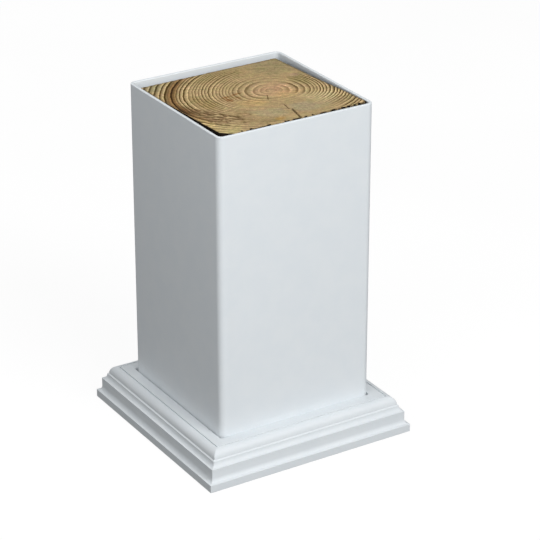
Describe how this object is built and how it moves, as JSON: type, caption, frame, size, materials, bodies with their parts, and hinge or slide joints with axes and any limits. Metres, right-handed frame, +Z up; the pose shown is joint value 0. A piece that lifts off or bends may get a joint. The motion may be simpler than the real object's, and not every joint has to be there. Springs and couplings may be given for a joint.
{
  "type": "vinyl post sleeve",
  "caption": "Square white vinyl post sleeve with a moulded base trim, slipped over a sawn timber post for a deck or porch railing.",
  "frame": {"origin": "on the ground, at the middle of the sleeve's and the base trim's footprint", "axes": "+Z up along the post; -Y is the front face and -X the left face, as the picture shows them; +X to the right"},
  "size_m": [0.2062, 0.2062, 0.3097],
  "materials": {
    "sleeve_vinyl": "smooth white rigid vinyl with a low satin sheen",
    "trim_vinyl": "smooth white moulded vinyl with a low satin sheen",
    "timber": "rough sawn end grain, dressed sides, dry and unsealed"
  },
  "bodies": {
    "root": {"sleeve": "sleeve_vinyl", "base_trim": "trim_vinyl", "timber_post": "timber"}
  },
  "joints": []
}
